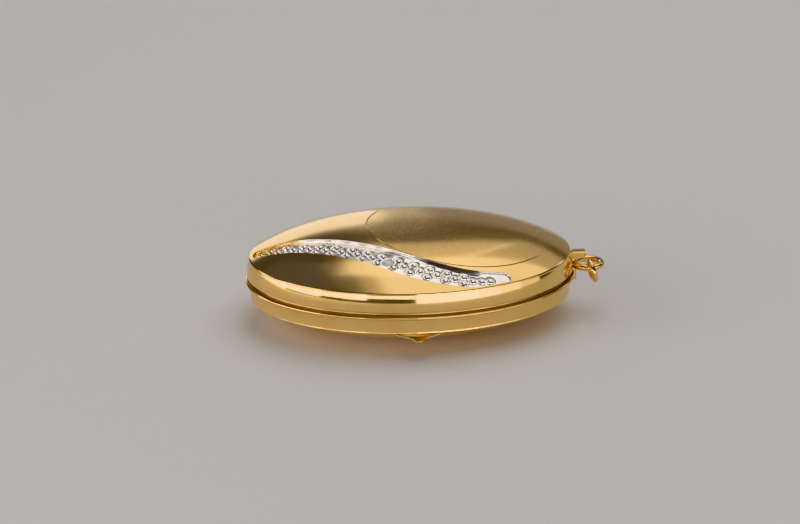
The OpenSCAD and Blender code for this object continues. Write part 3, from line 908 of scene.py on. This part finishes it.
def ring_lug():
    """A strap that rises from the wall and bends out over the fixed ring, and the ring itself."""
    root, gap, neck, tip = HALF_L - LUG_ROOT, HALF_L + LUG_GAP, HALF_L + LUG_FOOT_OUT, HALF_L + LUG_HEAD_OUT
    under, middle = LUG_TOP_Z - LUG_HEAD_H, LUG_TOP_Z - LUG_HEAD_H / 2
    strap = side_block("lug_strap", [
        (root, LUG_LOW_Z, 0), (neck, LUG_LOW_Z, 0.15), (neck, under, 0), (neck, middle, 0), (gap, middle, 0),
        (gap, FLANGE_TOP_Z, 0), (root, FLANGE_TOP_Z, 0)], -0.15, 0.55, 0.06)
    head = side_block("lug_head", [
        (gap, under, 0.1), (tip, under, 0.26), (tip, LUG_TOP_Z, 0.1), (gap, LUG_TOP_Z, 0.08)], -0.45, 0.6, 0.08)
    # The head's top falls slightly towards the hinge side
    for v in head.data.vertices:
        if v.co.z > (LUG_TOP_Z - 0.2) * MM:
            v.co.z -= (v.co.y + 0.45 * MM) * LUG_FALL
    ring = torus("fixed_ring", (RING_X, 0, RING_Z), (1, 0, 0), (0, 1, 0), FIXED_R, FIXED_WIRE / 2)
    return [strap, head, ring]


def back_leaves():
    pieces = []
    for low in SIDE_KNUCKLES:
        pieces += [knuckle("knuckle", low),
                   leaf("leaf", low, BACK_LEAF_REACH, FLANGE_TOP_Z - BACK_LEAF_H, FLANGE_TOP_Z)]
    return pieces


# ---------- inlay and stone ----------

def inlay_floor():
    """The inlay's plate: each bead stands in a shallow cut dish, and ridges part the dishes."""
    outline, normal = band_outline()
    edge = outline - INLAY_GAP * normal
    grid = plan_grid(PLATE_GRID)
    grid = grid[in_loop(grid, edge - PLATE_CLEAR * normal)]
    flat, tris, _ = triangulate(edge, loop_edges(0, len(edge)), grid, lambda c: in_loop(c, edge))
    x = flat[:, 0]
    surface = dome_z(*flat.T)
    centres = np.array([place[:2] for place in bead_places()] + [(STONE_X, curve(STONE_X, 1) - STONE_LOW)])
    beads_at = np.column_stack([centres, dome_z(*centres.T)])
    away = nearest(np.column_stack([flat, surface]), beads_at)
    rise = np.clip((away - DISH_IN) / (DISH_OUT - DISH_IN), 0, 1)
    # To the right of the middle the plate dips along its far edge
    to_far = nearest(flat, edge[normal[:, 1] > 0.3])
    dip = np.interp(x, DIP_X, (0, 1, 1, 0)) * (1 - np.clip((to_far - 0.12) / 0.3, 0, 1))
    bottom = surface - CHANNEL_DEPTH + INLAY_GAP
    top = bottom + INLAY_T + RIDGE_H * rise * rise * (3 - 2 * rise) * (1 - dip)
    # A cut line parts the beads from the smooth strip beyond them
    cut = np.interp(x, CUT_X, (0, 1, 1, 0)) * np.exp(-((to_far - CUT_FROM_EDGE) / CUT_HALF_W) ** 2)
    top -= CUT_DEPTH * cut
    to_near = nearest(flat, edge[normal[:, 1] < -0.3])
    top -= np.interp(x, PLATE_LEAN_X, PLATE_LEAN) * (to_near - 0.3)
    top = np.maximum(top, bottom + 0.02)
    n, m = len(flat), len(edge)
    rim = [int(np.argmin(np.hypot(*(flat - p).T))) for p in edge]
    verts = np.vstack([np.column_stack([flat, top]), np.column_stack([flat, bottom])])
    faces = [tuple(t) for t in tris.tolist()] + [tuple(n + i for i in t[::-1]) for t in tris.tolist()]
    faces += [(rim[i], n + rim[i], n + rim[(i + 1) % m], rim[(i + 1) % m]) for i in range(m)]
    return smooth_by_angle(solid("inlay_plate", verts, faces, floor_plate), 50)


def bead_mesh(rng, size):
    """One domed bead on the plate, slightly uneven as a hand tool leaves it."""
    r = size / 2 * rng.uniform(0.97, 1.04)
    centre = PLATE_TOP_DROP - BEAD_DROP - r * rng.uniform(0.98, 1.0)
    low = math.degrees(math.asin(max(-0.9, (-INLAY_T - centre) / r)))
    x, y = circle(BEAD_POINTS)
    squeeze = rng.uniform(-0.035, 0.035)
    verts = []
    for a in np.radians(np.linspace(low, 84, BEAD_ROWS)):
        out = r * math.cos(a)
        verts.append(level(out * (1 + squeeze) * x, out * (1 - squeeze) * y, centre + r * math.sin(a)))
    verts = np.vstack([*verts, [[0, 0, centre + r]]])
    faces = ring_faces(BEAD_ROWS, BEAD_POINTS)
    faces += fan((BEAD_ROWS - 1) * BEAD_POINTS, BEAD_POINTS, len(verts) - 1)
    faces.append(tuple(range(BEAD_POINTS))[::-1])
    return verts, faces


def beads():
    """All the beads as one mesh, each square to the dome."""
    rng = random.Random(BEAD_SEED)
    all_verts, all_faces, total = [], [], 0
    for x, y, size in bead_places():
        verts, faces = bead_mesh(rng, size)
        m = on_dome(x + rng.uniform(-0.015, 0.015), y + rng.uniform(-0.015, 0.015), PLATE_TOP_DROP)
        turn = m @ Matrix.Rotation(rng.uniform(0, math.pi), 4, "Z")
        all_verts.append(np.array([tuple(turn @ Vector(v)) for v in verts]))
        all_faces += [tuple(total + i for i in f) for f in faces]
        total += len(verts)
    return solid("inlay_beads", np.vstack(all_verts), all_faces, bead_plate)


def place_at_stone(obj):
    """Moves a mesh made about the origin to the stone's seat, square to the dome."""
    m = on_dome(STONE_X, float(curve(STONE_X, 1)) - STONE_LOW, STONE_DROP)
    m.translation *= MM
    obj.data.transform(m)
    return obj


def collar():
    """Thin bezel round the stone's girdle, with its cup below."""
    inner, outer = STONE_R + STONE_GAP - 0.01, STONE_R + STONE_GAP + COLLAR_W - 0.02
    section = rounded([(outer, -0.24, 0), (outer, -0.05, 0.035), (inner - 0.03, -0.05, 0.03),
                       (inner - 0.03, -0.13, 0), (inner - 0.14, -0.30, 0), (0.06, -0.33, 0)])
    count = 64
    x, y = circle(count)
    verts = [level(r * x, r * y, z) for r, z in section]
    verts = np.vstack([*verts, [[0, 0, -0.33]]])
    faces = ring_faces(len(section), count) + fan((len(section) - 1) * count, count, len(verts) - 1)
    faces.append(tuple(range(count)))
    return place_at_stone(smooth_by_angle(solid("stone_collar", verts, faces, bead_plate), 40))


def cut_stone():
    """Round cut stone: table, star, kite and girdle facets above, long and lower facets below."""
    verts = []

    def ring(r, z, count, turn):
        start = len(verts)
        for i in range(count):
            a = math.radians(turn) + 2 * math.pi * i / count
            verts.append((r * math.cos(a), r * math.sin(a), z))
        return [start + i for i in range(count)]

    girdle_z = -CROWN_H - GIRDLE_H
    table = ring(STONE_R * 0.5, 0.0, 8, 22.5)
    star = ring(STONE_R * 0.80, -CROWN_H * 0.407, 8, 0)
    top = ring(STONE_R, -CROWN_H, 16, 0)
    base = ring(STONE_R, girdle_z, 16, 0)
    lower = ring(STONE_R * 0.3, girdle_z - PAVILION_H * 0.723, 8, 0)
    verts.append((0, 0, girdle_z - PAVILION_H))
    tip = len(verts) - 1
    faces = [tuple(table)]
    for i in range(16):
        j = (i + 1) % 16
        faces.append((top[i], base[i], base[j], top[j]))
    for i in range(8):
        j = (i + 1) % 8
        odd, even, before = 2 * i + 1, 2 * i, (2 * i - 1) % 16
        faces += [(table[i], star[j], table[j]), (table[i], star[i], top[odd], star[j]),
                  (star[i], top[before], top[even]), (star[i], top[even], top[odd]),
                  (lower[i], base[even], base[before]), (lower[i], base[odd], base[even]),
                  (lower[i], lower[j], base[odd]), (lower[i], tip, lower[j])]
    return place_at_stone(solid("cut_stone", verts, faces, stone_look, smooth=False))


# ---------- putting it together ----------

cover_pieces = [cover_shell(), knuckle("cover_knuckle", MIDDLE_KNUCKLE),
                leaf("cover_leaf", MIDDLE_KNUCKLE, COVER_LEAF_REACH, COVER_LOW_Z, COVER_LOW_Z + COVER_LEAF_H)]
for piece in cover_pieces:
    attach(piece, "cover")
    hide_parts("front_cover")

for piece in (inlay_floor(), beads(), collar()):
    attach(piece, "cover")
    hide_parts("swirl_inlay")

stone = cut_stone()
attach(stone, "cover")
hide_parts("centre_stone")

back_pieces = [back_shell(), thumb_lip()] + ring_lug() + back_leaves()
for piece in back_pieces:
    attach(piece, "back")
    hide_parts("back_case")

pin = cylinder_x("pin", PIN_R, -PIN_HALF, PIN_HALF, 40, PIN_CHAMFER)
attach(pin, "back")
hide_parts("hinge_pin")

# The jump ring hangs on the fixed ring's wire and leans about it; its two ends meet at its lower side
lean = Matrix.Rotation(JUMP_TURN, 3, "Z") @ Matrix.Rotation(-JUMP_LEAN, 3, "Y")
jump_centre = Vector((RING_X + FIXED_R * math.cos(JUMP_AT), -FIXED_R * math.sin(JUMP_AT), RING_Z))
jump_centre -= lean @ Vector((0, 0, JUMP_R - JUMP_WIRE / 2 - FIXED_WIRE / 2 - JUMP_CLEARANCE))
jump = torus("jump_wire", jump_centre, lean @ Vector((0, 1, 0)), lean @ Vector((0, 0, 1)), JUMP_R,
             JUMP_WIRE / 2, JUMP_START, JUMP_END)
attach(jump, "back")
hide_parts("jump_ring")


# ---------- studio ----------

FLOOR_HALF = 260
FLOOR_PALE, FLOOR_DEEP = (0.93, 0.91, 0.88, 1), (0.89, 0.87, 0.84, 1)
WORLD_COLOUR, WORLD_STRENGTH = (0.95, 1.0, 1.18, 1), 0.09
KEY_TINT, BACK_TINT = (1.0, 0.98, 0.94), (1.0, 0.97, 0.92)
LOW_TINT, SIDE_TINT, FILL_TINT = (1.0, 0.98, 0.96), (1.0, 0.98, 0.95), (0.39, 0.49, 1.0)

# Wide panels overhead and to the right, dimmer at either side and towards the back:
# name, place, aim, width, height, radiance, colour
KEY_LIGHTS = (
    ("key_light", (37, 20, 220), (37, 20, 0), 125, 280, 0.95, KEY_TINT),
    ("key_right", (175, 20, 220), (175, 20, 0), 150, 280, 0.6, KEY_TINT),
    ("key_edge", (-36, 20, 220), (-36, 20, 0), 20, 280, 0.4, KEY_TINT),
    ("key_dim", (-59, 20, 220), (-59, 20, 0), 26, 280, 0.1, KEY_TINT),
    ("key_back", (10, 165, 215), (-35, 60, 0), 101, 220, 0.54, BACK_TINT),
    ("key_back_right", (155, 165, 215), (110, 60, 0), 190, 220, 0.38, BACK_TINT),
)
# Low light: three behind the case, the brightest on the left, and others by the left and the front to the right,
# which the cover's wall mirrors: azimuth from +Y to +X, distance, height, width, tall, radiance
LOW_LIGHTS = (
    (-11.2, 268, 50, 121, 94, 1.15), (3.0, 268, 50, 14, 94, 0.4), (27.2, 268, 50, 225, 94, 0.2),
    (-83, 176, 17.8, 105, 34.5, 3.0), (-112, 172, 23.3, 100, 33.5, 3.0), (-140, 168, 28.6, 98, 27.3, 3.0),
    (-166, 165, 33.9, 94, 16.8, 2.8), (161, 187, 21.3, 110, 41.5, 3.4), (138, 185, 21.3, 48, 41.5, 2.5),
    (123.5, 184, 21.3, 50, 41.5, 1.6), (107, 183, 21.3, 60, 41.5, 0.8),
)
# A weak cool fill for the dark part of the face, a tall light on the left, and small ones far left and right
SIDE_LIGHTS = (
    ("left_fill", (-90, 85, 172), (-8, -6, 8), 105, 135, 0.1, FILL_TINT),
    ("left_light", (-250, -60, 130), (0, 0, 5), 180, 200, 0.9, LOW_TINT),
    ("far_left_light", (-200, 107, 102), (0, 0, 6), 90, 80, 1.0, SIDE_TINT),
    ("right_light", (200, 150, 112), (5, 0, 6), 70, 60, 0.9, SIDE_TINT),
)

# The photograph's camera, found from the locket's outline, levels, lip and ring: angles, millimetres to the
# middle of the cover's arris, how far that point is off the picture's centre, and the focal length, both in pixels
AZIMUTH, ELEVATION, ROLL = (math.radians(a) for a in (3.4, 20.2, -0.85))
AWAY, OFF_X, OFF_Y, FOCAL = 315.4, 9.7, -10.2, 3384.0
PHOTO_W, SENSOR_W = 800, 36


def plain_floor():
    mat, tree, bsdf = material("floor")
    colour = mix_colour(tree, noise(tree, 0.4, 4), FLOOR_DEEP, FLOOR_PALE)
    tree.links.new(colour, bsdf.inputs["Base Color"])
    bsdf.inputs["Roughness"].default_value = 0.7
    corners = [(x * FLOOR_HALF, y * FLOOR_HALF, 0) for x, y in ((-1, -1), (1, -1), (1, 1), (-1, 1))]
    obj = add_mesh("floor", corners, [(0, 1, 2, 3)], mat, smooth=False)


def panel(name, at, aim, width, height, radiance, colour):
    """Soft rectangular light of this radiance, whatever its size."""
    data = bpy.data.lights.new(name, "AREA")
    data.shape = "RECTANGLE"
    data.size, data.size_y = width * MM, height * MM
    area = width * height * MM * MM
    data.energy = radiance * area * math.pi
    data.color = colour
    obj = add_object(name, data)
    obj.visible_camera = False
    obj.location = Vector(at) * MM
    obj.rotation_euler = (Vector(aim) - Vector(at)).to_track_quat("-Z", "Y").to_euler()


def studio():
    world = bpy.data.worlds.new("studio")
    bpy.context.scene.world = world
    world.use_nodes = True
    background = world.node_tree.nodes["Background"]
    background.inputs["Color"].default_value = WORLD_COLOUR
    background.inputs["Strength"].default_value = WORLD_STRENGTH
    for light in KEY_LIGHTS:
        panel(*light)
    for i, (azimuth, distance, z, width, tall, radiance) in enumerate(LOW_LIGHTS):
        turn = math.radians(azimuth)
        at = (distance * math.sin(turn), distance * math.cos(turn), z)
        panel(f"low_light_{i}", at, (0, 0, 5), width, tall, radiance, LOW_TINT)
    for light in SIDE_LIGHTS:
        panel(*light)


def camera():
    c, s = math.cos(ELEVATION), math.sin(ELEVATION)
    forward = Vector((math.sin(AZIMUTH) * c, math.cos(AZIMUTH) * c, -s))
    right = Vector((math.cos(AZIMUTH), -math.sin(AZIMUTH), 0))
    up = right.cross(forward)
    c, s = math.cos(ROLL), math.sin(ROLL)
    right, up = c * right + s * up, -s * right + c * up
    at = -(forward * AWAY + right * (OFF_X * AWAY / FOCAL) - up * (OFF_Y * AWAY / FOCAL))
    at += Vector((0, 0, COVER_ARRIS_Z))
    data = bpy.data.cameras.new("camera")
    data.sensor_width = SENSOR_W
    data.lens = FOCAL / PHOTO_W * SENSOR_W
    data.clip_start, data.clip_end = 0.01, 5
    obj = add_object("camera", data)
    m = Matrix((right, up, -forward)).transposed().to_4x4()
    m.translation = at * MM
    obj.matrix_world = m
    bpy.context.scene.camera = obj


plain_floor()
studio()
camera()
bpy.context.scene.view_settings.view_transform = "Khronos PBR Neutral"
